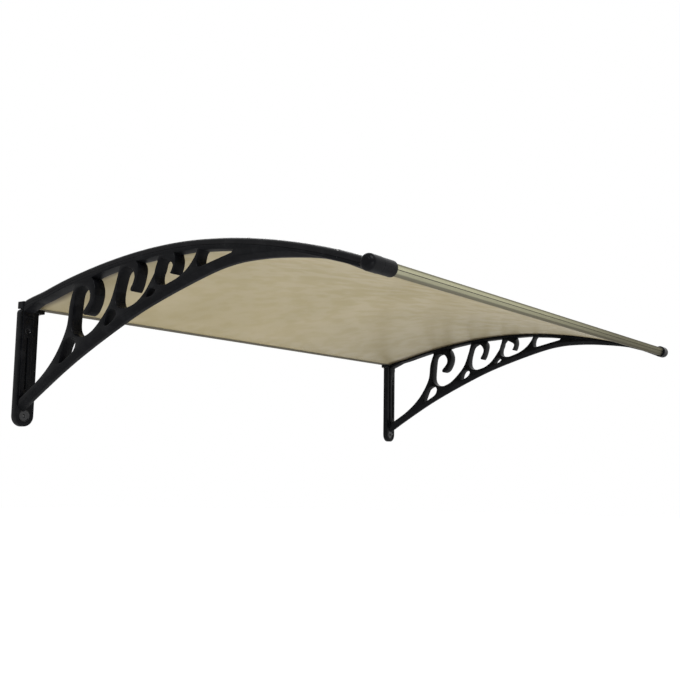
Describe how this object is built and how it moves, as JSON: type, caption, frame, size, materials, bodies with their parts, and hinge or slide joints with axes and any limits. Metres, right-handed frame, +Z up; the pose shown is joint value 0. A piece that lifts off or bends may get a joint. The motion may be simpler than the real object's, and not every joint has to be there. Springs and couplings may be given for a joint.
{
  "type": "door canopy",
  "caption": "Arched translucent roof sheet carried by moulded scrollwork wall brackets, with a rear bar on the wall and a round-ended front bar.",
  "frame": {"origin": "middle of the rear bar's flat back face, on the wall plane", "axes": "+X along the wall to the right as seen from in front, +Y into the wall so the canopy reaches out towards -Y, +Z up"},
  "size_m": [1.2364, 0.7838, 0.2871],
  "materials": {
    "black_plastic": "satin black moulding",
    "smoked_sheet": "tinted translucent sheet",
    "bar_aluminium": "mill finish extrusion",
    "screw_steel": "plated",
    "seal_rubber": "matt black"
  },
  "bodies": {
    "root": {"left_bracket": "black_plastic", "right_bracket": "black_plastic", "left_cover_strip": "black_plastic", "right_cover_strip": "black_plastic", "left_edge_seal": "seal_rubber", "right_edge_seal": "seal_rubber", "left_rear_end_cap": "black_plastic", "right_rear_end_cap": "black_plastic", "left_seat_screw": "screw_steel", "right_seat_screw": "screw_steel", "left_cover_screw_1": "screw_steel", "right_cover_screw_1": "screw_steel", "left_cover_screw_2": "screw_steel", "right_cover_screw_2": "screw_steel", "left_cover_screw_3": "screw_steel", "right_cover_screw_3": "screw_steel", "left_cover_screw_4": "screw_steel", "right_cover_screw_4": "screw_steel", "left_cover_screw_5": "screw_steel", "right_cover_screw_5": "screw_steel", "roof_sheet": "smoked_sheet", "front_bar": "bar_aluminium", "front_bar_seal": "seal_rubber", "front_bar_sleeve": "black_plastic", "rear_bar": "bar_aluminium", "rear_bar_seal": "seal_rubber"}
  },
  "joints": []
}
